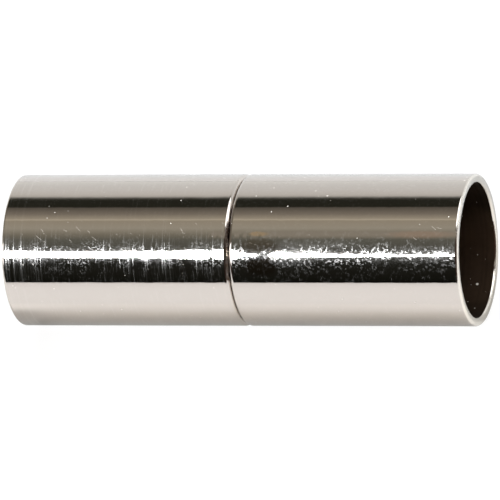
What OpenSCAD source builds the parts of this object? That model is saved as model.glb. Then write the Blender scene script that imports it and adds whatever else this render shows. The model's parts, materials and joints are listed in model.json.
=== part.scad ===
// Round magnetic clasp for a glued cord, closed and lying on its side.
// Millimetres, +Z up. The axis runs along X at half the clasp's height, the seam
// between the two halves is at X = 0, and the origin is on the surface below it.

/* [Cord] */
// Diameter of the cord that is glued into each end
cord_d = 6; // [3:0.5:10]
// Room for glue round the cord, on the radius
cord_fit = 0.1; // [0.05:0.01:0.3]
// Depth of the socket that takes the cord
socket_l = 8; // [4:0.5:14]
// Radius in the corner of the socket's floor
socket_corner_r = 0.2; // [0.05:0.05:0.5]

/* [Barrels] */
// Thickness of the wall round the socket
wall_t = 0.4; // [0.3:0.05:1.2]
// Thickness of the web between the socket and the deep magnet pocket
web_t = 0.65; // [0.3:0.05:2]
// Width of the rim round the magnet at the seam
seam_rim_w = 0.95; // [0.5:0.05:1.2]
// Radius of the outer edge at the open end
mouth_round = 0.13; // [0.05:0.01:0.15]
// Radius of the outer edge at the seam
seam_round = 0.2; // [0.05:0.01:0.3]
// Edge break inside the open end
mouth_break = 0.1; // [0.05:0.01:0.12]
// Lead-in round the mouth of the magnet pocket
pocket_break = 0.1; // [0.05:0.01:0.15]

/* [Magnets] */
// Thickness of each magnet
magnet_t = 2; // [1.5:0.25:4]
// Gap round each magnet in its pocket, on the radius
magnet_fit = 0.05; // [0.02:0.01:0.15]
// Radius of the magnets' edges
magnet_round = 0.15; // [0.05:0.01:0.3]

/* [Seam] */
// How far the left magnet stands past the seam, into the right barrel
plug_l = 0.3; // [0.1:0.05:0.8]
// Gap that the closed magnets leave between the two rims
seam_gap = 0.02; // [0.02:0.01:0.2]

/* [Hidden] */
$fn = 96;

// How far a cutting shape runs past the face that it opens
overrun = 0.5;

socket_r = cord_d / 2 + cord_fit;
barrel_r = socket_r + wall_t;
pocket_r = barrel_r - seam_rim_w;
magnet_r = pocket_r - magnet_fit;

// The magnets meet at X = plug_l, so one pocket is deeper than the other.
deep_pocket_l = magnet_t + plug_l - seam_gap / 2;
shallow_pocket_l = magnet_t - plug_l - seam_gap / 2;
barrel_l = socket_l + web_t + deep_pocket_l;

PLATED = [0.80, 0.77, 0.73];
NICKEL = [0.66, 0.66, 0.65];

// What rounding takes off a corner: the corner is at the origin, its material at -X and -Y.
module rounding(r) {
    difference() {
        translate([-r, -r]) square(r + overrun);
        translate([-r, -r]) circle(r);
    }
}

// Outline of a hole of radius r and depth l that opens downwards at Y = 0, with a round corner
// at its floor and a 45 degree edge break at its mouth.
module hole_profile(r, l, corner_r, edge_break) {
    difference() {
        translate([0, -overrun]) square([r, l + overrun]);
        translate([r, l]) rounding(corner_r);
    }
    polygon([[0, -overrun], [r + edge_break + overrun, -overrun], [r, edge_break], [0, edge_break]]);
}

// Half section of a barrel: radius along X, the open end at Y = 0, the seam at Y = barrel_l.
module barrel_profile(pocket_l) {
    difference() {
        square([barrel_r, barrel_l]);
        translate([barrel_r, 0]) mirror([0, 1]) rounding(mouth_round);
        translate([barrel_r, barrel_l]) rounding(seam_round);
        hole_profile(socket_r, socket_l, socket_corner_r, mouth_break);
        translate([0, barrel_l]) mirror([0, 1])
            hole_profile(pocket_r, pocket_l, magnet_round, pocket_break);
    }
}

// One half's tube, turned about X, with its seam face at the origin and its open end at -X.
module barrel(pocket_l) {
    color(PLATED) rotate([0, 90, 0]) translate([0, 0, -barrel_l])
        rotate_extrude() barrel_profile(pocket_l);
}

// A round magnet along X, with its left face at the origin.
module magnet() {
    color(NICKEL) rotate([0, 90, 0]) rotate_extrude() difference() {
        square([magnet_r, magnet_t]);
        translate([magnet_r, 0]) mirror([0, 1]) rounding(magnet_round);
        translate([magnet_r, magnet_t]) rounding(magnet_round);
    }
}

module left_barrel() {
    translate([-seam_gap / 2, 0, barrel_r]) barrel(shallow_pocket_l);
}

module right_barrel() {
    translate([seam_gap / 2, 0, barrel_r]) mirror([1, 0, 0]) barrel(deep_pocket_l);
}

module left_magnet() {
    translate([plug_l - magnet_t, 0, barrel_r]) magnet();
}

module right_magnet() {
    translate([plug_l, 0, barrel_r]) magnet();
}

left_barrel();
right_barrel();
left_magnet();
right_magnet();
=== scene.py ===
"""A round magnetic clasp for a glued cord, closed and lying on a pale surface.

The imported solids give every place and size. This file gives them their finish: turned and
rounded shells for the two barrels and the two magnets, plating with its scratches and specks,
and the studio that the plating mirrors.
"""

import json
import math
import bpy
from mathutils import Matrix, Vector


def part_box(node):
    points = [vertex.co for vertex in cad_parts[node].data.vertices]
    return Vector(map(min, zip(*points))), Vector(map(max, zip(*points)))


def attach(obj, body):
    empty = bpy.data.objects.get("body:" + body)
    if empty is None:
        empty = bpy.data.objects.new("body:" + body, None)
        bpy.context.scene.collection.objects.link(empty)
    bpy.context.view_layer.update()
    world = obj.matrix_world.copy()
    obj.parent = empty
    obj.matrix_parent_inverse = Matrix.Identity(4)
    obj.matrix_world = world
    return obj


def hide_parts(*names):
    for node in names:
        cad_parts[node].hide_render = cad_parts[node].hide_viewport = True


bl_info = {
    "name": "Magnetic Clasp",
    "version": (1, 0, 0),
    "blender": (4, 5, 0),
    "location": "3D View > Sidebar > Clasp",
    "description": "Dresses the solids of a round magnetic clasp and sets its studio",
    "category": "Object",
}

from collections import namedtuple
from functools import reduce

import bmesh
import bpy
from bpy.props import FloatProperty, FloatVectorProperty, IntProperty, PointerProperty
from mathutils import Matrix, Vector

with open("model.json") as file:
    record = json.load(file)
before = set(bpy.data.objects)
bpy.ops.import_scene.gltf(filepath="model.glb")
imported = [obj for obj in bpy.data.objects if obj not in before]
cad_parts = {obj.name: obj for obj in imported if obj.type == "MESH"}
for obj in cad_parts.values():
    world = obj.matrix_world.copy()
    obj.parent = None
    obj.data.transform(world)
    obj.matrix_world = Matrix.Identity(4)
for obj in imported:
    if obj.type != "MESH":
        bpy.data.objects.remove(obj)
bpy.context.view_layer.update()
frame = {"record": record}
MM = 0.001

LEFT_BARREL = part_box("left_barrel")
RIGHT_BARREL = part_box("right_barrel")
LEFT_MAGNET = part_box("left_magnet")
RIGHT_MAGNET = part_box("right_magnet")
SOCKETS = {mount["name"]: mount for mount in frame["record"]["mounts"]}

AXIS_HEIGHT = (LEFT_BARREL[0].z + LEFT_BARREL[1].z) / 2
BARREL_RADIUS = (LEFT_BARREL[1].z - LEFT_BARREL[0].z) / 2
MAGNET_RADIUS = (LEFT_MAGNET[1].z - LEFT_MAGNET[0].z) / 2

# The sizes that the finish is placed by, in millimetres.
BARREL_MM = BARREL_RADIUS / MM
SOCKET_MM = SOCKETS["right_cord_socket"]["dims"]["r_mm"]
HALF_LENGTH_MM = RIGHT_BARREL[1].x / MM

# Vertices closer than this are one vertex.
MERGE = 0.0002 * MM

# A corner of a turned outline: its place along the axis, its radius from the axis, and the
# rounding or edge break that it gets, if any, in so many flats.
Corner = namedtuple("Corner", "x radius rounding flats", defaults=(0, 0))
ROUNDING_FLATS = 8
MAGNET_FLATS = 6
CORNER_FLATS = 4
BREAK_FLATS = 2


class ClaspBarrelSizes(bpy.types.PropertyGroup):
    """Edges of the two barrels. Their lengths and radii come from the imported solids."""

    mouth_round: FloatProperty(
        name="Mouth rounding", description="Radius of the outer edge at the open end",
        default=0.13 * MM, min=0, subtype="DISTANCE", unit="LENGTH")
    mouth_break: FloatProperty(
        name="Mouth edge break", description="Edge break inside the open end",
        default=0.1 * MM, min=0, subtype="DISTANCE", unit="LENGTH")
    seam_round: FloatProperty(
        name="Seam rounding", description="Radius of the outer edge at the seam",
        default=0.2 * MM, min=0, subtype="DISTANCE", unit="LENGTH")
    pocket_break: FloatProperty(
        name="Pocket lead-in", description="Edge break round the mouth of the magnet pocket",
        default=0.1 * MM, min=0, subtype="DISTANCE", unit="LENGTH")
    socket_corner: FloatProperty(
        name="Socket corner", description="Radius in the corner of the socket's floor",
        default=0.2 * MM, min=0, subtype="DISTANCE", unit="LENGTH")
    pocket_corner: FloatProperty(
        name="Pocket corner", description="Radius in the corner of the magnet pocket's floor",
        default=0.15 * MM, min=0, subtype="DISTANCE", unit="LENGTH")
    steps: IntProperty(
        name="Steps", description="Flats round the barrel", default=320, min=64, max=512)


class ClaspMagnetSizes(bpy.types.PropertyGroup):
    """Edges of the magnets and the gap round them."""

    edge_round: FloatProperty(
        name="Edge rounding", description="Radius of the magnets' edges",
        default=0.15 * MM, min=0, subtype="DISTANCE", unit="LENGTH")
    fit: FloatProperty(
        name="Pocket gap", description="Gap round each magnet, on the radius",
        default=0.05 * MM, min=0, subtype="DISTANCE", unit="LENGTH")
    steps: IntProperty(
        name="Steps", description="Flats round the magnet", default=192, min=64, max=512)


class ClaspFinish(bpy.types.PropertyGroup):
    """Colours of the metals, and of the painted shade in the seam."""

    plating: FloatVectorProperty(
        name="Plating", description="Mirror colour of the plated barrels",
        default=(0.745, 0.692, 0.648), size=3, min=0, max=1, subtype="COLOR")
    # The bore's dark colour is partly painted shade of the deep hollow.
    bore: FloatVectorProperty(
        name="Bore", description="Colour of the thin plating inside the sockets and pockets",
        default=(0.1225, 0.08, 0.053), size=3, min=0, max=1, subtype="COLOR")
    magnet: FloatVectorProperty(
        name="Magnet", description="Colour of the magnets' nickel",
        default=(0.62, 0.60, 0.57), size=3, min=0, max=1, subtype="COLOR")
    # Painted shade: a dark brown laid in the seam's groove and on its roundings, in place of the
    # shade and dark reflections there.
    seam_shade: FloatVectorProperty(
        name="Grime", description="Colour of the grime in the seam",
        default=(0.09, 0.06, 0.042), size=3, min=0, max=1, subtype="COLOR")


class ClaspStudio(bpy.types.PropertyGroup):
    """The surface, the lights and the camera."""

    floor_radius: FloatProperty(
        name="Floor radius", description="Radius of the pale surface",
        default=3.0, min=0.1, subtype="DISTANCE", unit="LENGTH")
    camera_distance: FloatProperty(
        name="Camera distance", description="From the camera to the middle of the clasp",
        default=425 * MM, min=0.05, subtype="DISTANCE", unit="LENGTH")
    camera_swing: FloatProperty(
        name="Camera swing", description="Angle of the clasp's axis to the image plane",
        default=math.radians(17.3), subtype="ANGLE", unit="ROTATION")
    camera_rise: FloatProperty(
        name="Camera rise", description="Angle of the view above the surface, seen along the axis",
        default=math.radians(50.7), subtype="ANGLE", unit="ROTATION")
    camera_lens: FloatProperty(
        name="Lens", description="Focal length on a 36 mm sensor, in millimetres",
        default=662.8, min=1, subtype="DISTANCE_CAMERA")
    lamp_strength: FloatProperty(
        name="Strip light", description="Brightness of the strip light in front",
        default=200, min=0)
    overhead_power: FloatProperty(
        name="Overhead light", description="Power of the soft light above",
        default=7.0, min=0, subtype="POWER", unit="POWER")


# A soft-edged stretch of a measure: it sets in from start to full, and fades from fade to end.
Stretch = namedtuple("Stretch", "start full fade end")


class Graph:
    """Short calls for filling a node tree."""

    def __init__(self, tree):
        self.tree = tree

    def set(self, socket, value):
        """Links an output to the socket, or sets the socket's own value."""
        if isinstance(value, bpy.types.NodeSocket):
            self.tree.links.new(value, socket)
        else:
            socket.default_value = value

    def node(self, kind, inputs=None, **settings):
        """Adds a node with its settings, then fills its inputs by name or number."""
        node = self.tree.nodes.new(kind)
        for name, value in settings.items():
            setattr(node, name, value)
        for name, value in (inputs or {}).items():
            self.set(node.inputs[name], value)
        return node

    def math(self, operation, *values, clamp=False):
        """A Math node of one operation."""
        node = self.node("ShaderNodeMath", dict(enumerate(values)), operation=operation,
                         use_clamp=clamp)
        return node.outputs[0]

    def chain(self, operation, values):
        """One operation on several values, each time on the result so far and the next."""
        return reduce(lambda result, value: self.math(operation, result, value), values)

    def times(self, *values):
        """The product of several values."""
        return self.chain("MULTIPLY", values)

    def highest(self, *values):
        """The highest of several values."""
        return self.chain("MAXIMUM", values)

    def vector(self, operation, first, second):
        """A Vector Math node of one operation on two vectors."""
        node = self.node("ShaderNodeVectorMath", {0: first, 1: second}, operation=operation)
        return node.outputs[0]

    def length(self, vector):
        """The length of a vector."""
        return self.node("ShaderNodeVectorMath", {0: vector}, operation="LENGTH").outputs["Value"]

    def rise(self, value, low, high, bottom=0.0, top=1.0):
        """Goes smoothly from bottom at low to top at high, and stays there beyond."""
        node = self.node("ShaderNodeMapRange", interpolation_type="SMOOTHSTEP", clamp=True)
        for name, number in zip(("Value", "From Min", "From Max", "To Min", "To Max"),
                                (value, low, high, bottom, top)):
            self.set(node.inputs[name], number)
        return node.outputs[0]

    def fall(self, value, low, high):
        """Goes smoothly from 1 at low to 0 at high, and stays there beyond."""
        return self.rise(value, low, high, 1.0, 0.0)

    def within(self, value, stretch):
        """Is 1 on a stretch and 0 off it."""
        return self.times(self.rise(value, stretch.start, stretch.full),
                          self.fall(value, stretch.fade, stretch.end))

    def split(self, vector):
        """The X, Y and Z of a vector."""
        return self.node("ShaderNodeSeparateXYZ", {0: vector}).outputs

    def join(self, x, y, z):
        """A vector from X, Y and Z."""
        return self.node("ShaderNodeCombineXYZ", {0: x, 1: y, 2: z}).outputs[0]

    def mix(self, share, first, second):
        """A colour between two, by share."""
        node = self.node("ShaderNodeMix", data_type="RGBA", clamp_factor=True)
        factor, a, b = node.inputs["Factor"], node.inputs[6], node.inputs[7]
        for socket, value in ((factor, share), (a, first), (b, second)):
            self.set(socket, value)
        return node.outputs[2]

    def noise(self, vector, scale=1.0, detail=2.0):
        """A noise value round 0.5."""
        node = self.node("ShaderNodeTexNoise", {"Vector": vector, "Scale": scale, "Detail": detail})
        return node.outputs["Fac"]

    def cloud(self, vector, scale, low, high, bottom=0.0, top=1.0):
        """Clouds of noise: bottom where the noise is under low, and top where it is over high."""
        return self.rise(self.noise(vector, scale), low, high, bottom, top)

    def cells(self, vector, size, dimensions="3D"):
        """A Voronoi texture with cells of a size."""
        scale = self.math("DIVIDE", 1.0, size)
        return self.node("ShaderNodeTexVoronoi", {"Vector": vector, "Scale": scale},
                         voronoi_dimensions=dimensions)

    def chances(self, cells):
        """Three random values for each cell of a Voronoi texture."""
        return self.node("ShaderNodeSeparateColor", {0: cells.outputs["Color"]}).outputs


def rgba(colour):
    """A colour with full alpha, as shader sockets take it."""
    return (*colour, 1.0)


def new_group(name, inputs, outputs):
    """A shader node group with named sockets. Each input is a name, a kind and a default."""
    tree = bpy.data.node_groups.new(name, "ShaderNodeTree")
    for label, kind, default in inputs:
        socket = tree.interface.new_socket(name=label, in_out="INPUT", socket_type=kind)
        if default is not None:
            socket.default_value = default
    for label, kind in outputs:
        tree.interface.new_socket(name=label, in_out="OUTPUT", socket_type=kind)
    graph = Graph(tree)
    given = graph.node("NodeGroupInput").outputs
    result = graph.node("NodeGroupOutput").inputs
    return tree, graph, given, result


VECTOR, FLOAT = "NodeSocketVector", "NodeSocketFloat"

# How far apart neighbouring hairlines are in the noise, so that their ends don't line up.
LINE_SPREAD = 60.0


def unrolled_group():
    """Unrolls a turned piece flat: X runs along its outline and Y round it, in millimetres."""
    tree, graph, given, result = new_group(
        "Unrolled barrel",
        [("Around", VECTOR, None)],
        [("Unrolled", VECTOR), ("Radius", FLOAT)])
    x, y, z = graph.split(given["Around"])
    radius = graph.length(graph.join(0.0, y, z))
    arc = graph.times(graph.math("ARCTAN2", y, z), radius)
    graph.set(result["Unrolled"], graph.join(graph.math("ADD", x, radius), arc, 0.0))
    graph.set(result["Radius"], radius)
    return tree


def hairlines_group():
    """Fine lines that polishing has left round the piece, each with its own place and ends."""
    tree, graph, given, result = new_group(
        "Polishing hairlines",
        [("Unrolled", VECTOR, None), ("Lines", FLOAT, 8.0), ("Width", FLOAT, 0.03),
         ("Length", FLOAT, 1.0), ("Level", FLOAT, 0.55)],
        [("Mask", FLOAT)])
    along, arc, _ = graph.split(given["Unrolled"])
    lines, width, level = given["Lines"], given["Width"], given["Level"]
    cells = graph.node("ShaderNodeTexVoronoi", {"W": graph.times(along, lines), "Scale": 1.0},
                       voronoi_dimensions="1D")
    off_line = graph.math("DIVIDE", cells.outputs["Distance"], lines)
    thin = graph.fall(off_line, graph.times(width, 0.4), graph.times(width, 0.6))
    chance = graph.chances(cells)
    along_line = graph.math("DIVIDE", arc, given["Length"])
    place = graph.join(graph.math("MULTIPLY_ADD", chance[0], LINE_SPREAD, along_line),
                       graph.times(chance[1], LINE_SPREAD), 0.0)
    shown = graph.rise(graph.noise(place, detail=1.0), level, graph.math("ADD", level, 0.04))
    depth = graph.rise(chance[2], 0.2, 0.9)
    graph.set(result["Mask"], graph.times(thin, shown, depth))
    return tree


def scratches_group():
    """Short straight scratches from handling, each with its own place, turn and length."""
    tree, graph, given, result = new_group(
        "Handling scratches",
        [("Unrolled", VECTOR, None), ("Cell", FLOAT, 0.8), ("Length", FLOAT, 0.3),
         ("Width", FLOAT, 0.03), ("Share", FLOAT, 0.5), ("Turn", FLOAT, 0.0),
         ("Spread", FLOAT, math.tau)],
        [("Mask", FLOAT)])
    cells = graph.cells(given["Unrolled"], given["Cell"], "2D")
    chance = graph.chances(cells)
    from_middle = graph.vector("SUBTRACT", given["Unrolled"], cells.outputs["Position"])
    own_turn = graph.times(graph.math("SUBTRACT", chance[0], 0.5), given["Spread"])
    turned = graph.node("ShaderNodeVectorRotate", {
        "Vector": from_middle,
        "Axis": (0, 0, 1),
        "Angle": graph.math("ADD", given["Turn"], own_turn)}, rotation_type="AXIS_ANGLE")
    along, across, _ = graph.split(turned.outputs[0])
    half_length = graph.times(given["Length"], chance[1])
    to_end = graph.math("SUBTRACT", half_length, graph.math("ABSOLUTE", along))
    to_side = graph.math("SUBTRACT", given["Width"], graph.math("ABSOLUTE", across))
    present = graph.math("LESS_THAN", chance[2], given["Share"])
    graph.set(result["Mask"], graph.times(
        graph.rise(to_end, 0.0, 0.05), graph.rise(to_side, 0.0, 0.01), present))
    return tree


def grains_group():
    """Grains that stand out of uneven plating, gathered in patches."""
    tree, graph, given, result = new_group(
        "Plating grains",
        [("Around", VECTOR, None), ("Size", FLOAT, 0.14), ("Patch", FLOAT, 0.6),
         ("Level", FLOAT, 0.5)],
        [("Mask", FLOAT)])
    around, level = given["Around"], given["Level"]
    grain = graph.cloud(around, graph.math("DIVIDE", 1.0, given["Size"]), 0.55, 0.60)
    patch = graph.cloud(around, graph.math("DIVIDE", 1.0, given["Patch"]),
                        level, graph.math("ADD", level, 0.1))
    graph.set(result["Mask"], graph.times(grain, patch))
    return tree


def pits_group():
    """Single small pits and specks."""
    tree, graph, given, result = new_group(
        "Pits",
        [("Around", VECTOR, None), ("Cell", FLOAT, 0.6), ("Size", FLOAT, 0.045),
         ("Share", FLOAT, 0.3)],
        [("Mask", FLOAT)])
    cells = graph.cells(given["Around"], given["Cell"])
    chance = graph.chances(cells)
    distance = graph.times(cells.outputs["Distance"], given["Cell"])
    radius = graph.times(given["Size"], graph.rise(chance[0], 0.0, 1.0, 0.4, 1.0))
    inside = graph.fall(distance, graph.times(radius, 0.6), radius)
    present = graph.math("LESS_THAN", chance[1], given["Share"])
    graph.set(result["Mask"], graph.times(inside, present))
    return tree


def stain_group():
    """A soft patch with a ragged edge at one place of the unrolled piece."""
    tree, graph, given, result = new_group(
        "Stain",
        [("Unrolled", VECTOR, None), ("Middle", VECTOR, None), ("Half Size", VECTOR, None),
         ("Ragged", FLOAT, 0.4), ("Core", FLOAT, 0.4)],
        [("Mask", FLOAT)])
    offset = graph.vector("SUBTRACT", given["Unrolled"], given["Middle"])
    far = graph.length(graph.vector("DIVIDE", offset, given["Half Size"]))
    wobble = graph.math("SUBTRACT", graph.noise(given["Unrolled"], 4.0, 3.0), 0.5)
    ragged = graph.math("MULTIPLY_ADD", wobble, given["Ragged"], far)
    graph.set(result["Mask"], graph.fall(ragged, given["Core"], 1.0))
    return tree


# The shared node groups, made once.
GROUPS = {
    "unrolled": unrolled_group(),
    "hairlines": hairlines_group(),
    "scratches": scratches_group(),
    "grains": grains_group(),
    "pits": pits_group(),
    "stain": stain_group(),
}


def group_node(graph, name, **inputs):
    """Places a shared node group and fills its inputs, whose names have spaces for underscores."""
    node = graph.node("ShaderNodeGroup", node_tree=GROUPS[name])
    for label, value in inputs.items():
        graph.set(node.inputs[label.replace("_", " ")], value)
    return node.outputs


def mask(graph, name, **inputs):
    """Where the marks of a shared node group lie."""
    return group_node(graph, name, **inputs)["Mask"]


# Where a point of a turned piece is, in millimetres: from the middle of the axis, unrolled flat,
# and its distance from the axis.
Place = namedtuple("Place", "around unrolled radius")

# What the metals reflect of a grazing ray.
EDGE_TINT = (0.85, 0.89, 0.92)

# The unit of a bump's height: a thousandth of a millimetre.
BUMP_UNIT = 0.001 * MM


def new_metal(name):
    """A material with a metal Principled shader, and the place of each point on a turned piece."""
    material = bpy.data.materials.new(name)
    material.use_nodes = True
    graph = Graph(material.node_tree)
    shader = material.node_tree.nodes["Principled BSDF"]
    shader.inputs["Metallic"].default_value = 1.0
    shader.inputs["Specular Tint"].default_value = rgba(EDGE_TINT)
    mapping = graph.node("ShaderNodeMapping", {
        "Vector": graph.node("ShaderNodeTexCoord").outputs["Object"],
        "Location": (0, 0, -AXIS_HEIGHT / MM),
        "Scale": (1 / MM, 1 / MM, 1 / MM)})
    around = mapping.outputs[0]
    unrolled = group_node(graph, "unrolled", Around=around)
    return material, graph, shader, Place(around, unrolled["Unrolled"], unrolled["Radius"])


def add_bump(graph, shader, height):
    """Lets a height map push the shader's normal."""
    bump = graph.node("ShaderNodeBump", {"Strength": 1.0, "Distance": BUMP_UNIT, "Height": height})
    graph.set(shader.inputs["Normal"], bump.outputs[0])


# The bare rim at the open ends: its colour, paler than the plating as bare metal and with painted
# light for the bright surface it mirrors, how far in from the end it fades, and its roughness.
RIM_BARE_AND_LIT_COLOUR = (0.94, 0.90, 0.84)
RIM_FADE = (0.11, 0.05)
RIM_ROUGHNESS = 0.25

# Dust, on the plating and in the bores.
DUST = (0.85, 0.82, 0.76)

# The marks and the haze are a coat over the clean plating. Under a full coat this tint keeps the
# plating as bright as it is without one.
COAT_TINT = (1.0, 0.99, 0.98)
COAT_ROUGHNESS = 0.25
COAT_IOR = 2.0

# How worn a half's plating is: the levels above which hairlines and grains show, where a lower
# level shows more, the size of a grain in millimetres, the share of places that have a scratch or
# a speck, and the haze over all.
Wear = namedtuple("Wear", "hairlines grains grain_size scratches specks haze")
LEFT_WEAR = Wear(hairlines=0.50, grains=0.47, grain_size=0.09, scratches=0.35, specks=0.3,
                 haze=0.055)
RIGHT_WEAR = Wear(hairlines=0.66, grains=0.40, grain_size=0.14, scratches=0.10, specks=0.2,
                  haze=0.10)

# How strongly each mark shows beside a bold hairline, and how dusty a scratch is.
FINE_LINE_SHARE = 0.2
SCRATCH_SHARE = 0.5
GRAIN_SHARE = 0.6
SPECK_SHARE = 0.5
SCRATCH_DUST = 0.25

# What changes the levels: the left end shows more hairlines, the right end fewer grains, and the
# blotch more grains. Then the haze of the blotch's smear and of the rubbed stretch.
LEFT_END_LINES = 0.4
RIGHT_END_GRAINS = 0.06
BLOTCH_GRAINS = -0.2
SMEAR_HAZE = 0.12
RUBBED_HAZE = 0.18

# Heights of the plating's slow waves and of the dent.
WAVE_HEIGHT = 3.0
DENT_HEIGHT = 16.0

# Where wear and the painted shade on the seam's roundings lie, in millimetres: along the axis from
# the seam, with the left half negative, or round the barrel from its top, with the front negative.
WORN_LEFT_END = (-8.6, -10.2)
CLEANER_RIGHT_END = (4.0, 8.0)
LOW_IN_FRONT = (-3.1, -2.8)
HANDLED = Stretch(-3.9, -2.6, -1.3, -0.9)
RIGHT_EDGE_SHADE_ARC = Stretch(-2.2, -1.7, -0.4, 0.0)
LEFT_EDGE_SHADE_ARC = Stretch(-3.6, -3.3, -0.95, -0.6)

# The painted shade in the seam sets in by the depth under the barrel's outside, up to a share, and
# ends some way from the seam and some way down. The left rounding is also rougher under its shade.
DEEP_SEAM_SHADE = (0.14, 0.2, 0.0, 0.7)
RIGHT_SEAM_SHADE = (0.025, 0.045, 0.0, 0.8)
LEFT_SEAM_SHADE = (0.003, 0.03, 0.0, 1.0)
LEFT_SEAM_ROUGHNESS = 0.45
SEAM_SHADE_REACH = (0.35, 0.45)
SEAM_SHADE_FLOOR = (0.25, 0.4)

# Painted shade inside the sockets: how the inside darkens, over a range in millimetres and between
# two levels, with the height over the axis, and towards the front, in two steps.
BORE_SHADE_UPWARD = (-2.0, -0.4, 1.0, 0.28)
BORE_SHADE_BACK = (0.8, 2.5, 0.45, 1.0)
BORE_SHADE_FRONT = (-2.4, 0.4, 0.5, 1.0)
BORE_SHADE_BLACK = (0.0, 0.0, 0.0)

# A place with its own look: its middle and half size in millimetres, unrolled, and what it does to
# the colour there, if anything.
Stain = namedtuple("Stain", "middle half_size tint")


def stain_at(radius, along, arc, half_length, half_width, tint=None):
    """A stain on a wall of that radius, along from the seam and round from the top."""
    return Stain((along + radius, arc, 0), (half_length, half_width, 1), tint)


# On the right half: two places where the plating is worn to the brass, painted dark brown
# reflections above and below the mirrored strip light, the blotch and the rubbed stretch beside
# them, and a dent.
BRASS_SPOT = stain_at(BARREL_MM, 1.45, -1.66, 0.60, 0.15, (1.32, 1.14, 0.90))
BRASS_STREAK = stain_at(BARREL_MM, 9.2, -1.70, 2.0, 0.24, (1.15, 1.02, 0.96))
DARK_REFLECTION_ABOVE = stain_at(BARREL_MM, 1.5, -2.20, 1.2, 0.45, (0.80, 0.72, 0.64))
DARK_REFLECTION_BELOW = stain_at(BARREL_MM, 1.6, -3.15, 1.1, 0.60, (0.75, 0.60, 0.50))
STAINS_AND_DARK_REFLECTIONS = (BRASS_SPOT, BRASS_STREAK, DARK_REFLECTION_ABOVE, DARK_REFLECTION_BELOW)
DARK_REFLECTIONS = (DARK_REFLECTION_ABOVE, DARK_REFLECTION_BELOW)
BLOTCH = stain_at(BARREL_MM, 3.0, -2.97, 1.3, 0.35)
RUBBED = stain_at(BARREL_MM, 4.4, -2.05, 2.6, 0.30)
DENT = stain_at(BARREL_MM, 1.34, -2.62, 0.75, 0.30)

# One larger speck of dust low in the right socket.
BORE_SPECK = stain_at(SOCKET_MM, 10.14, 9.26, 0.08, 0.08)


def stain_mask(graph, place, stain, **settings):
    """Where a stain lies."""
    return mask(graph, "stain", Unrolled=place.unrolled, Middle=stain.middle,
                Half_Size=stain.half_size, **settings)


def polishing_lines(graph, place, x, wear):
    """Hairlines in crowds, bold and fine, with the most at the left end."""
    crowd = graph.cloud(graph.join(x, 0.0, 0.0), 0.8, 0.35, 0.65, 0.09, -0.05)
    at_end = graph.rise(x, *WORN_LEFT_END, 0.0, LEFT_END_LINES)
    level = graph.math("SUBTRACT", graph.math("ADD", wear.hairlines, crowd), at_end)
    bold = mask(graph, "hairlines", Unrolled=place.unrolled, Level=level,
                Lines=8.0, Width=0.045, Length=0.8)
    fine = mask(graph, "hairlines", Unrolled=place.unrolled, Level=level,
                Lines=19.0, Width=0.028, Length=0.6)
    return graph.highest(bold, graph.times(fine, FINE_LINE_SHARE))


def handling_scratches(graph, place, arc, wear):
    """Short scratches on the stretch in front that is handled most."""
    scratches = mask(graph, "scratches", Unrolled=place.unrolled, Cell=0.45, Length=0.2,
                     Width=0.014, Share=wear.scratches, Turn=math.radians(35), Spread=0.7)
    return graph.times(scratches, graph.within(arc, HANDLED))


def plating_haze(graph, place, arc, wear):
    """A faint haze in fine clouds and wide patches, weaker low in front."""
    clouds = graph.cloud(place.around, 13.0, 0.4, 0.7, 0.1 * wear.haze, 2.0 * wear.haze)
    patches = graph.cloud(place.around, 0.9, 0.35, 0.65, 0.3, 1.0)
    return graph.times(clouds, patches, graph.rise(arc, *LOW_IN_FRONT, 0.35, 1.0))


def right_half_haze(graph, place, blotch, haze):
    """Adds the smear in the blotch and the rubbed stretch to the right half's haze."""
    smear = graph.times(blotch, graph.cloud(place.around, 9.0, 0.35, 0.6))
    rubbed = graph.times(stain_mask(graph, place, RUBBED),
                         graph.cloud(place.around, 5.0, 0.35, 0.65, 0.3, 1.0))
    haze = graph.math("MULTIPLY_ADD", smear, SMEAR_HAZE, haze)
    return graph.math("MULTIPLY_ADD", rubbed, RUBBED_HAZE, haze)


def stain_plating_and_paint_reflections(graph, place, finish, marks, haze):
    """Gives the plating its stains and painted dark reflections, and clears the marks and the haze
    under the painted reflections.
    """
    colour = rgba(finish.plating)
    for stain in STAINS_AND_DARK_REFLECTIONS:
        stained = stain_mask(graph, place, stain)
        tinted = [part * tint for part, tint in zip(finish.plating, stain.tint)]
        colour = graph.mix(stained, colour, rgba(tinted))
        if stain in DARK_REFLECTIONS:
            clear = graph.rise(stained, 0.0, 1.0, 1.0, 0.2)
            marks = graph.times(marks, clear)
            haze = graph.times(haze, clear)
    return colour, marks, haze


def left_edge_painted_shade(graph, place, arc, depth):
    """Painted shade on the left half's rounding, speckled and with ragged ends."""
    ragged_arc = graph.math("MULTIPLY_ADD", graph.noise(place.around, 3.0), 0.8, arc)
    speckled = graph.cloud(place.around, 10.0, 0.35, 0.55, 0.5, 1.0)
    return graph.times(graph.rise(depth, *LEFT_SEAM_SHADE), speckled,
                       graph.within(ragged_arc, LEFT_EDGE_SHADE_ARC))


def right_edge_painted_shade(graph, arc, depth):
    """Even painted shade on the right half's rounding."""
    return graph.times(graph.rise(depth, *RIGHT_SEAM_SHADE), graph.within(arc, RIGHT_EDGE_SHADE_ARC))


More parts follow.
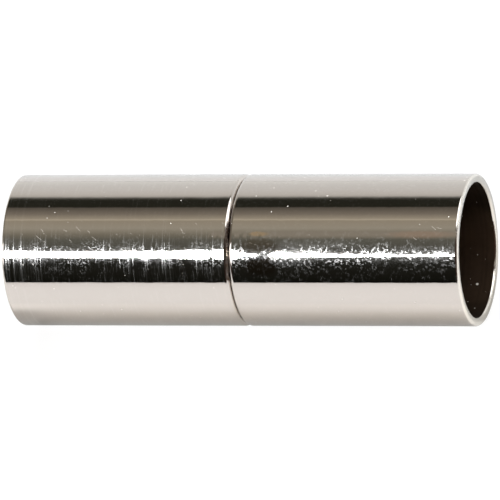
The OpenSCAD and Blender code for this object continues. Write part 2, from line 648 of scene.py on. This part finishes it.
def plated_material(name, finish, wear, is_right):
    """Bright plating: a clean mirror under a faint haze of hairlines, scratches and grains."""
    material, graph, shader, place = new_metal(name)
    x, _, _ = graph.split(place.around)
    _, arc, _ = graph.split(place.unrolled)
    from_seam = graph.math("ABSOLUTE", x)

    lines = polishing_lines(graph, place, x, wear)
    scratches = handling_scratches(graph, place, arc, wear)
    haze = plating_haze(graph, place, arc, wear)
    level = wear.grains
    if is_right:
        blotch = stain_mask(graph, place, BLOTCH)
        along = graph.rise(x, *CLEANER_RIGHT_END, level, level + RIGHT_END_GRAINS)
        level = graph.math("MULTIPLY_ADD", blotch, BLOTCH_GRAINS, along)
        haze = right_half_haze(graph, place, blotch, haze)
    grains = mask(graph, "grains", Around=place.around, Level=level, Size=wear.grain_size)
    specks = mask(graph, "pits", Around=place.around, Cell=0.14, Size=0.034, Share=wear.specks)
    marks = graph.highest(lines, graph.times(scratches, SCRATCH_SHARE),
                          graph.times(grains, GRAIN_SHARE), graph.times(specks, SPECK_SHARE))

    colour = rgba(finish.plating)
    wave = graph.times(graph.noise(place.around, 1.2), WAVE_HEIGHT)
    if is_right:
        colour, marks, haze = stain_plating_and_paint_reflections(graph, place, finish, marks, haze)
        dent = stain_mask(graph, place, DENT, Core=0.0, Ragged=0.1)
        wave = graph.math("MULTIPLY_ADD", dent, DENT_HEIGHT, wave)
    graph.set(shader.inputs["Coat Weight"], graph.math("ADD", marks, haze, clamp=True))
    shader.inputs["Coat Roughness"].default_value = COAT_ROUGHNESS
    shader.inputs["Coat IOR"].default_value = COAT_IOR
    shader.inputs["Coat Tint"].default_value = rgba(COAT_TINT)

    # Painted shade in the seam: edge holds the shade painted on a rounding, and with the deep
    # groove it darkens the colour towards the seam's shade colour.
    depth = graph.math("SUBTRACT", BARREL_MM, place.radius)
    near_seam = graph.times(graph.fall(from_seam, *SEAM_SHADE_REACH), graph.fall(depth, *SEAM_SHADE_FLOOR))
    rim_start, rim_full = (HALF_LENGTH_MM - inset for inset in RIM_FADE)
    rim = graph.rise(from_seam, rim_start, rim_full)
    pits = mask(graph, "pits", Around=place.around)
    rough = [graph.rise(pits, 0.0, 1.0, 0.02, 0.5), graph.times(rim, RIM_ROUGHNESS)]
    if is_right:
        edge = graph.times(right_edge_painted_shade(graph, arc, depth), near_seam)
    else:
        edge = graph.times(left_edge_painted_shade(graph, place, arc, depth), near_seam)
        rough.append(graph.times(edge, LEFT_SEAM_ROUGHNESS))
    seam_shade = graph.highest(graph.times(graph.rise(depth, *DEEP_SEAM_SHADE), near_seam), edge)
    graph.set(shader.inputs["Roughness"], graph.highest(*rough))

    dust = mask(graph, "pits", Around=place.around, Cell=0.3, Size=0.03, Share=0.35)
    dust = graph.highest(dust, graph.times(scratches, SCRATCH_DUST))
    # The rim's paler colour is partly bare metal and partly painted light.
    colour = graph.mix(rim, colour, rgba(RIM_BARE_AND_LIT_COLOUR))
    colour = graph.mix(seam_shade, colour, rgba(finish.seam_shade))
    graph.set(shader.inputs["Base Color"], graph.mix(dust, colour, rgba(DUST)))
    graph.set(shader.inputs["Metallic"], graph.math("SUBTRACT", 1.0, dust))
    add_bump(graph, shader, wave)
    return material


def bore_material(finish):
    """The dark, thinly plated inside of a socket or pocket, with the marks of boring.

    Its dark colour is partly painted shade of the hollow; more painted shade makes it darker high
    up, and darkens it from the back to the front.
    """
    material, graph, shader, place = new_metal("bored brass")
    marks = mask(graph, "hairlines", Unrolled=place.unrolled, Lines=6.0, Width=0.12, Length=6.0,
                 Level=0.42)
    pits = mask(graph, "pits", Around=place.around, Cell=0.5, Size=0.045, Share=0.6)
    graph.set(shader.inputs["Roughness"], graph.highest(
        graph.rise(marks, 0.0, 1.0, 0.68, 0.75), graph.times(pits, 0.8)))
    _, y, z = graph.split(place.around)
    shaded_tone = graph.times(graph.cloud(place.around, 0.9, 0.3, 0.7, 0.8, 1.0),
                       graph.rise(z, *BORE_SHADE_UPWARD),
                       graph.rise(y, *BORE_SHADE_BACK),
                       graph.rise(y, *BORE_SHADE_FRONT))
    # Painted shade: the bore's colour goes towards black where the shade is deep.
    colour = graph.mix(shaded_tone, rgba(BORE_SHADE_BLACK), rgba(finish.bore))
    specks = mask(graph, "pits", Around=place.around, Cell=0.22, Size=0.035, Share=0.45)
    dust = graph.highest(graph.times(specks, graph.fall(z, -1.0, 0.5)),
                         stain_mask(graph, place, BORE_SPECK, Core=0.5))
    graph.set(shader.inputs["Base Color"], graph.mix(dust, colour, rgba(DUST)))
    add_bump(graph, shader, marks)
    return material


def magnet_material(finish):
    """Satin nickel on a sintered magnet."""
    material, graph, shader, place = new_metal("satin nickel")
    grain = graph.noise(place.around, 16.0)
    on_face = graph.vector("MULTIPLY", place.around, (0, 1, 1))
    scratches = mask(graph, "scratches", Unrolled=on_face, Cell=0.6, Length=0.3, Width=0.015,
                     Share=0.5)
    graph.set(shader.inputs["Roughness"], graph.highest(
        graph.rise(grain, 0.3, 0.7, 0.2, 0.28), graph.times(scratches, 0.4)))
    shader.inputs["Base Color"].default_value = rgba(finish.magnet)
    add_bump(graph, shader, grain)
    return material


def turned_mesh(name, corners, steps):
    """Spins an outline of corners round the clasp's axis and rounds each corner's ring."""
    shape = bmesh.new()
    outline = [shape.verts.new((corner.x, 0, AXIS_HEIGHT + corner.radius)) for corner in corners]
    edges = [shape.edges.new(pair) for pair in zip(outline, outline[1:])]
    bmesh.ops.spin(shape, geom=outline + edges, cent=(0, 0, AXIS_HEIGHT), axis=(1, 0, 0),
                   dvec=(0, 0, 0), angle=math.tau, steps=steps, use_merge=True)
    bmesh.ops.remove_doubles(shape, verts=shape.verts, dist=MERGE)
    bmesh.ops.recalc_face_normals(shape, faces=shape.faces)
    for corner in corners:
        if corner.rounding:
            round_ring(shape, corner)
    mesh = bpy.data.meshes.new(name)
    shape.to_mesh(mesh)
    shape.free()
    return mesh


def on_corner(vertex, corner):
    """Whether a vertex lies on the ring that a corner has made."""
    radius = math.hypot(vertex.co.y, vertex.co.z - AXIS_HEIGHT)
    return abs(vertex.co.x - corner.x) < MERGE and abs(radius - corner.radius) < MERGE


def round_ring(shape, corner):
    """Rounds or breaks the ring of edges at one corner."""
    ring = [edge for edge in shape.edges if all(on_corner(vertex, corner) for vertex in edge.verts)]
    bmesh.ops.bevel(shape, geom=ring, offset=corner.rounding, offset_type="OFFSET",
                    segments=corner.flats, profile=0.5, affect="EDGES", material=-1,
                    clamp_overlap=False)


def new_piece(name, mesh, node, body, materials):
    """Puts a finished mesh in the scene in place of its solid."""
    piece = bpy.data.objects.new(name, mesh)
    bpy.context.scene.collection.objects.link(piece)
    for material in materials:
        mesh.materials.append(material)
    mesh.polygons.foreach_set("use_smooth", [True] * len(mesh.polygons))
    normals = piece.modifiers.new("Even shading", "WEIGHTED_NORMAL")
    normals.keep_sharp = True
    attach(piece, body)
    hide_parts(node)


def barrel_corners(sizes, pocket_radius, box, magnet, socket, outward):
    """A barrel's outline from the middle of its socket's floor round to the middle of its pocket.

    outward is 1 for the right half, whose open end looks along +X, and -1 for the left.
    """
    mouth_x = box[1].x if outward > 0 else box[0].x
    seam_x = box[0].x if outward > 0 else box[1].x
    pocket_x = magnet[1].x if outward > 0 else magnet[0].x
    socket_radius = socket["dims"]["r_mm"] * MM
    wall_end = socket["pos_m"][0] - outward * socket["dims"]["length_mm"] * MM / 2
    floor_x = wall_end - outward * sizes.socket_corner
    return [
        Corner(floor_x, 0),
        Corner(floor_x, socket_radius, sizes.socket_corner, CORNER_FLATS),
        Corner(mouth_x, socket_radius, sizes.mouth_break, BREAK_FLATS),
        Corner(mouth_x, BARREL_RADIUS, sizes.mouth_round, ROUNDING_FLATS),
        Corner(seam_x, BARREL_RADIUS, sizes.seam_round, ROUNDING_FLATS),
        Corner(seam_x, pocket_radius, sizes.pocket_break, BREAK_FLATS),
        Corner(pocket_x, pocket_radius, sizes.pocket_corner, CORNER_FLATS),
        Corner(pocket_x, 0),
    ]


def paint_bores(mesh, corners):
    """Gives the faces inside the socket and the pocket the second material.

    The outline's second corner is at the socket's floor, and its last but one at the pocket's.
    """
    socket, pocket = corners[1], corners[-2]
    for face in mesh.polygons:
        x, y, z = face.center
        hole = min(socket, pocket, key=lambda corner: abs(x - corner.x))
        inside = math.hypot(y, z - AXIS_HEIGHT) < hole.radius + MERGE
        face.material_index = int(inside)


class CLASP_OT_barrels(bpy.types.Operator):
    """Builds the two plated barrels"""

    bl_idname = "clasp.barrels"
    bl_label = "Barrels"

    def execute(self, context):
        sizes = context.scene.clasp_barrels
        finish = context.scene.clasp_finish
        pocket_radius = MAGNET_RADIUS + context.scene.clasp_magnets.fit
        bore = bore_material(finish)
        for side, box, magnet, outward, wear in (
                ("left", LEFT_BARREL, LEFT_MAGNET, -1, LEFT_WEAR),
                ("right", RIGHT_BARREL, RIGHT_MAGNET, 1, RIGHT_WEAR)):
            socket = SOCKETS[f"{side}_cord_socket"]
            corners = barrel_corners(sizes, pocket_radius, box, magnet, socket, outward)
            name = f"{side}_plated_barrel"
            mesh = turned_mesh(name, corners, sizes.steps)
            paint_bores(mesh, corners)
            plating = plated_material(f"{side} plating", finish, wear, is_right=outward > 0)
            new_piece(name, mesh, f"{side}_barrel", f"{side}_half",
                      [plating, bore])
        return {"FINISHED"}


class CLASP_OT_magnets(bpy.types.Operator):
    """Builds the two magnets"""

    bl_idname = "clasp.magnets"
    bl_label = "Magnets"

    def execute(self, context):
        sizes = context.scene.clasp_magnets
        nickel = magnet_material(context.scene.clasp_finish)
        for side, box in (("left", LEFT_MAGNET), ("right", RIGHT_MAGNET)):
            low, high = box[0].x, box[1].x
            corners = [
                Corner(low, 0),
                Corner(low, MAGNET_RADIUS, sizes.edge_round, MAGNET_FLATS),
                Corner(high, MAGNET_RADIUS, sizes.edge_round, MAGNET_FLATS),
                Corner(high, 0),
            ]
            name = f"{side}_nickel_magnet"
            mesh = turned_mesh(name, corners, sizes.steps)
            new_piece(name, mesh, f"{side}_magnet", f"{side}_half", [nickel])
        return {"FINISHED"}


# What the plating mirrors, from the front horizon at 0 degrees over the top to the back horizon
# at 180: the dark room in front, the ceiling with a lamp line, a dark gap, and the white backdrop.
StudioBand = namedtuple("StudioBand", "angle colour")
STUDIO_BANDS = [
    StudioBand(0, (0.003, 0.003, 0.002)),
    StudioBand(6, (0.008, 0.008, 0.006)),
    StudioBand(30, (0.014, 0.014, 0.011)),
    StudioBand(50, (0.07, 0.07, 0.06)),
    StudioBand(66, (0.12, 0.12, 0.10)),
    StudioBand(74, (0.21, 0.195, 0.155)),
    StudioBand(84, (0.36, 0.335, 0.275)),
    StudioBand(94, (0.345, 0.31, 0.245)),
    StudioBand(96, (0.345, 0.31, 0.245)),
    StudioBand(97.5, (0.50, 0.455, 0.36)),
    StudioBand(99.5, (0.37, 0.335, 0.265)),
    StudioBand(107, (0.22, 0.195, 0.16)),
    StudioBand(118.3, (0.10, 0.09, 0.075)),
    StudioBand(119.8, (0.021, 0.021, 0.015)),
    StudioBand(132, (0.021, 0.021, 0.016)),
    StudioBand(135, (0.045, 0.044, 0.036)),
    StudioBand(137, (0.12, 0.12, 0.11)),
    StudioBand(141, (0.53, 0.52, 0.49)),
    StudioBand(145, (0.63, 0.615, 0.586)),
    StudioBand(155, (0.69, 0.685, 0.67)),
    StudioBand(168, (0.745, 0.747, 0.735)),
    StudioBand(180, (0.87, 0.875, 0.855)),
]

# The strip light in front: half of its width in degrees, by the direction's X. It is widest by
# the seam, and narrows to the right.
LampWidth = namedtuple("LampWidth", "x half_width")
LAMP_WIDTHS = [
    LampWidth(-0.44, 0),
    LampWidth(-0.43, 4.9),
    LampWidth(-0.304, 4.5),
    LampWidth(-0.3025, 6.8),
    LampWidth(-0.3005, 6.8),
    LampWidth(-0.2993, 3.6),
    LampWidth(-0.2975, 1.7),
    LampWidth(-0.2945, 1.7),
    LampWidth(-0.293, 2.4),
    LampWidth(-0.287, 2.0),
    LampWidth(-0.282, 0.65),
    LampWidth(-0.278, 0.42),
    LampWidth(-0.262, 0.3),
    LampWidth(-0.25, 0),
]

# The strip light's angle, its soft edge, by how much it dips right of the seam, and the X over
# which it does. No half width above passes the widest one, which the ramp's 1 stands for.
LAMP_ANGLE = 43.8
LAMP_EDGE = 0.7
LAMP_DIP = 1.5
LAMP_DIP_X = (-0.300, -0.288)
WIDEST_LAMP = 10.0

# The walls and boxes to both sides: their colours, and where they begin by the direction's X.
SIDE_DARK = (0.040, 0.022, 0.015)
SIDE_BOX = (2.2, 2.2, 2.2)
LEFT_WALL = (0.17, 0.15, 0.12)
RIGHT_SIDE_X = (0.08, 0.16)
LEFT_SIDE_X = (-0.50, -0.58)
LEFT_BOX_X = (-0.56, -0.60)

# The same by the angle: the right box's edge, which slants, the backdrop behind that box, the left
# wall's foot, its end, which slants too, and half of the left box's width.
RIGHT_BOX_ALONG_X = (0.5, 1.0)
RIGHT_BOX_EDGE = (85.0, 125.0)
BACKDROP_FROM = (135.0, 139.0)
LEFT_WALL_FOOT = (60.0, 70.0)
LEFT_WALL_END_X = (-0.84, -0.80)
LEFT_WALL_END = (185.0, 155.0)
LEFT_BOX_HALF_WIDTH = 19.0
SIDE_EDGE = 4.0

# A faint glow under the ceiling, right of the seam.
GLOW = (0.28, 0.255, 0.21)
GLOW_ANGLES = Stretch(66.0, 74.0, 78.0, 81.0)
GLOW_X = (-0.2995, -0.2985)

PALE = (1.0, 1.0, 1.0)
HORIZON = (-0.002, 0.0)


def ramp(graph, position, stops):
    """A colour ramp with a colour at each stop, from 0 to 1."""
    node = graph.node("ShaderNodeValToRGB", {0: position})
    elements = node.color_ramp.elements
    while len(elements) < len(stops):
        elements.new(0.5)
    for element, (place, colour) in zip(elements, stops):
        element.position = place
        element.color = rgba(colour)
    return node.outputs[0]


def past(graph, angle, edge):
    """Whether the angle is past a side piece's edge, which is a little soft."""
    return graph.rise(graph.math("SUBTRACT", angle, edge), 0.0, SIDE_EDGE)


def right_side(graph, x, angle, bands):
    """What stands to the right: the dark room, a light box over it, and the backdrop."""
    box_edge = graph.rise(x, *RIGHT_BOX_ALONG_X, *RIGHT_BOX_EDGE)
    side = graph.mix(past(graph, angle, box_edge), rgba(SIDE_DARK), rgba(SIDE_BOX))
    return graph.mix(graph.rise(angle, *BACKDROP_FROM), side, bands)


def left_side(graph, x, angle, bands):
    """What stands to the left: the dark room, a dim wall over it, and the backdrop past its end."""
    side = graph.mix(graph.rise(angle, *LEFT_WALL_FOOT), rgba(SIDE_DARK), rgba(LEFT_WALL))
    wall_end = graph.rise(x, *LEFT_WALL_END_X, *LEFT_WALL_END)
    return graph.mix(past(graph, angle, wall_end), side, bands)


def strip_light(graph, x, angle):
    """Where the strip light shows, and how many degrees each direction is off its middle line."""
    start, end = LAMP_WIDTHS[0].x, LAMP_WIDTHS[-1].x
    along = graph.math("DIVIDE", graph.math("SUBTRACT", x, start), end - start)
    stops = [((width.x - start) / (end - start), (width.half_width / WIDEST_LAMP,) * 3)
             for width in LAMP_WIDTHS]
    half_width = graph.times(ramp(graph, along, stops), WIDEST_LAMP)
    middle = graph.rise(x, *LAMP_DIP_X, LAMP_ANGLE, LAMP_ANGLE - LAMP_DIP)
    off_middle = graph.math("ABSOLUTE", graph.math("SUBTRACT", angle, middle))
    lit = graph.rise(graph.math("SUBTRACT", half_width, off_middle), 0.0, LAMP_EDGE)
    return lit, off_middle


def studio_world(studio):
    """The surroundings: bands by angle about the clasp's axis, and lights on both sides."""
    world = bpy.data.worlds.new("studio")
    world.use_nodes = True
    graph = Graph(world.node_tree)
    x, y, z = graph.split(graph.node("ShaderNodeTexCoord").outputs["Generated"])
    angle = graph.math("DEGREES", graph.math("ARCTAN2", z, graph.times(y, -1.0)))
    bands = ramp(graph, graph.math("DIVIDE", angle, 180.0),
                 [(band.angle / 180, band.colour) for band in STUDIO_BANDS])
    right = right_side(graph, x, angle, bands)
    left = left_side(graph, x, angle, bands)
    sky = graph.mix(graph.rise(x, *RIGHT_SIDE_X), bands, right)
    sky = graph.mix(graph.rise(x, *LEFT_SIDE_X), sky, left)
    glow = graph.times(graph.within(angle, GLOW_ANGLES), graph.rise(x, *GLOW_X))
    sky = graph.mix(glow, sky, rgba(GLOW))
    lit, off_middle = strip_light(graph, x, angle)
    sky = graph.mix(lit, sky, rgba([studio.lamp_strength] * 3))
    on_left_box = graph.times(graph.fall(off_middle, LEFT_BOX_HALF_WIDTH, LEFT_BOX_HALF_WIDTH + 1),
                              graph.rise(x, *LEFT_BOX_X))
    sky = graph.mix(on_left_box, sky, rgba(SIDE_BOX))
    above = graph.mix(graph.rise(z, *HORIZON), rgba(PALE), sky)
    seen = graph.node("ShaderNodeLightPath").outputs["Is Camera Ray"]
    background = world.node_tree.nodes["Background"]
    graph.set(background.inputs["Color"], graph.mix(seen, above, rgba(PALE)))
    return world


# The surface's grey in front of the clasp; behind it a darker grey, which is painted shade, and
# the share of that left far behind, where the painted shade deepens.
FLOOR_TONE = 0.36
FLOOR_SHADED_TONE_BEHIND = 0.325
FLOOR_FAR_SHADE_SHARE = 0.9

# Painted light and shadow by the clasp, as shares in red, green and blue: a painted pool of light
# round it, warmed and dimmed on the stretch under it, and a painted shadow past the left end.
FLOOR_PAINTED_LIGHT = (1.10, 1.09, 1.07)
FLOOR_PAINTED_WARMTH = (0.97, 0.95, 0.92)
FLOOR_END_SHADOW_SHARE = 0.6

# Where these lie, in millimetres along the clasp from the seam, or behind it.
SHADE_BEHIND_Y = (0.0, 60.0)
FAR_SHADE_Y = (100.0, 300.0)
PAINTED_LIGHT_Y = Stretch(-9.5, -6.5, 2.0, 6.0)
PAINTED_WARMTH_Y = Stretch(-6.5, -4.5, 2.0, 4.0)
PAINTED_SHADOW_Y = Stretch(-7.5, -4.5, -2.0, 4.0)
PAINTED_SHADOW_X = (-12.5, -8.5)

# The glow that makes the surface white to the camera, and the share of it in what the camera sees.
FLOOR_GLOW = 1.15
FLOOR_GLOW_SHARE = 0.8


def floor_colour_and_painted_light(graph):
    """The surface's grey, with painted shade behind the clasp, a painted pool of light round it and
    a painted shadow past its left end.
    """
    place = graph.node("ShaderNodeTexCoord").outputs["Object"]
    x, y, _ = graph.split(graph.vector("DIVIDE", place, (MM, MM, MM)))
    past_end_shadow = graph.times(graph.within(y, PAINTED_SHADOW_Y), graph.fall(x, *PAINTED_SHADOW_X))
    shaded_tone = graph.times(graph.rise(y, *SHADE_BEHIND_Y, FLOOR_TONE, FLOOR_SHADED_TONE_BEHIND),
                       graph.rise(y, *FAR_SHADE_Y, 1.0, FLOOR_FAR_SHADE_SHARE),
                       graph.rise(past_end_shadow, 0.0, 1.0, 1.0, FLOOR_END_SHADOW_SHARE))
    painted_light, painted_warmth = graph.within(y, PAINTED_LIGHT_Y), graph.within(y, PAINTED_WARMTH_Y)
    return graph.join(*(
        graph.times(shaded_tone, graph.rise(painted_light, 0.0, 1.0, 1.0, light),
                    graph.rise(painted_warmth, 0.0, 1.0, 1.0, warm))
        for light, warm in zip(FLOOR_PAINTED_LIGHT, FLOOR_PAINTED_WARMTH)))


def floor_material():
    """A pale matt surface whose shadow shows only faintly to the camera, as on a cut-out."""
    material = bpy.data.materials.new("pale surface")
    material.use_nodes = True
    graph = Graph(material.node_tree)
    matt = material.node_tree.nodes["Principled BSDF"]
    graph.set(matt.inputs["Base Color"], floor_colour_and_painted_light(graph))
    matt.inputs["Roughness"].default_value = 0.9
    matt.inputs["Specular IOR Level"].default_value = 0.0
    glow = graph.node("ShaderNodeEmission", {"Color": rgba(PALE), "Strength": FLOOR_GLOW})
    camera_ray = graph.node("ShaderNodeLightPath").outputs["Is Camera Ray"]
    both = graph.node("ShaderNodeMixShader", {
        0: graph.times(camera_ray, FLOOR_GLOW_SHARE), 1: matt.outputs[0], 2: glow.outputs[0]})
    output = material.node_tree.nodes["Material Output"]
    graph.set(output.inputs["Surface"], both.outputs[0])
    return material


def build_floor(studio):
    """A round pale floor that the clasp lies on."""
    shape = bmesh.new()
    bmesh.ops.create_circle(shape, cap_ends=True, segments=96, radius=studio.floor_radius)
    mesh = bpy.data.meshes.new("floor")
    shape.to_mesh(mesh)
    shape.free()
    mesh.materials.append(floor_material())
    floor = bpy.data.objects.new("floor", mesh)
    bpy.context.scene.collection.objects.link(floor)


# The soft light above: its side, and how far behind and above the clasp it hangs, in metres.
OVERHEAD_SIZE = 0.5
OVERHEAD_BEHIND = 0.3
OVERHEAD_HEIGHT = 0.56


def add_overhead(studio):
    """A soft square light above, which the plating doesn't mirror."""
    data = bpy.data.lights.new("overhead", "AREA")
    data.shape = "SQUARE"
    data.size = OVERHEAD_SIZE
    data.energy = studio.overhead_power
    light = bpy.data.objects.new("overhead", data)
    light.location = (0, OVERHEAD_BEHIND, OVERHEAD_HEIGHT)
    light.rotation_euler = (-math.atan2(OVERHEAD_BEHIND, OVERHEAD_HEIGHT), 0, 0)
    light.visible_camera = False
    light.visible_glossy = False
    bpy.context.scene.collection.objects.link(light)


def add_camera(studio):
    """The camera, rolled so that the clasp's axis lies level in the picture."""
    swing, rise = studio.camera_swing, studio.camera_rise
    back = Vector((
        math.sin(swing),
        -math.cos(swing) * math.cos(rise),
        math.cos(swing) * math.sin(rise)))
    level = (Vector((1, 0, 0)) - back.x * back).normalized()
    turn = Matrix((level, back.cross(level), back)).transposed()
    data = bpy.data.cameras.new("camera")
    data.lens = studio.camera_lens
    data.clip_start, data.clip_end = 0.01, 20.0
    camera = bpy.data.objects.new("camera", data)
    middle = Vector((0, 0, AXIS_HEIGHT))
    camera.matrix_world = Matrix.Translation(middle + studio.camera_distance * back) @ turn.to_4x4()
    bpy.context.scene.collection.objects.link(camera)
    bpy.context.scene.camera = camera


class CLASP_OT_stage(bpy.types.Operator):
    """Sets the floor, the lights and the camera"""

    bl_idname = "clasp.stage"
    bl_label = "Stage"

    def execute(self, context):
        studio = context.scene.clasp_studio
        context.scene.view_settings.view_transform = "Standard"
        context.scene.world = studio_world(studio)
        build_floor(studio)
        add_overhead(studio)
        add_camera(studio)
        return {"FINISHED"}


class CLASP_PT_sidebar(bpy.types.Panel):
    """Lists the pieces that can be built and their settings"""

    bl_label = "Magnetic Clasp"
    bl_idname = "CLASP_PT_sidebar"
    bl_space_type = "VIEW_3D"
    bl_region_type = "UI"
    bl_category = "Clasp"

    def draw(self, context):
        for settings in SETTINGS:
            group = getattr(context.scene, settings)
            box = self.layout.box()
            for name in group.__annotations__:
                box.prop(group, name)
        for operator in OPERATORS:
            self.layout.operator(operator.bl_idname)


SETTINGS = {
    "clasp_barrels": ClaspBarrelSizes,
    "clasp_magnets": ClaspMagnetSizes,
    "clasp_finish": ClaspFinish,
    "clasp_studio": ClaspStudio,
}
OPERATORS = (CLASP_OT_barrels, CLASP_OT_magnets, CLASP_OT_stage)


def register():
    """Registers the settings, the operators and the panel."""
    for kind in (*SETTINGS.values(), *OPERATORS, CLASP_PT_sidebar):
        bpy.utils.register_class(kind)
    for name, kind in SETTINGS.items():
        setattr(bpy.types.Scene, name, PointerProperty(type=kind))


def unregister():
    """Takes them away again."""
    for name in SETTINGS:
        delattr(bpy.types.Scene, name)
    for kind in (CLASP_PT_sidebar, *OPERATORS, *SETTINGS.values()):
        bpy.utils.unregister_class(kind)


def main():
    """Registers the add-on, then builds the clasp and its stage."""
    register()
    bpy.ops.clasp.barrels()
    bpy.ops.clasp.magnets()
    bpy.ops.clasp.stage()


if __name__ == "__main__":
    main()
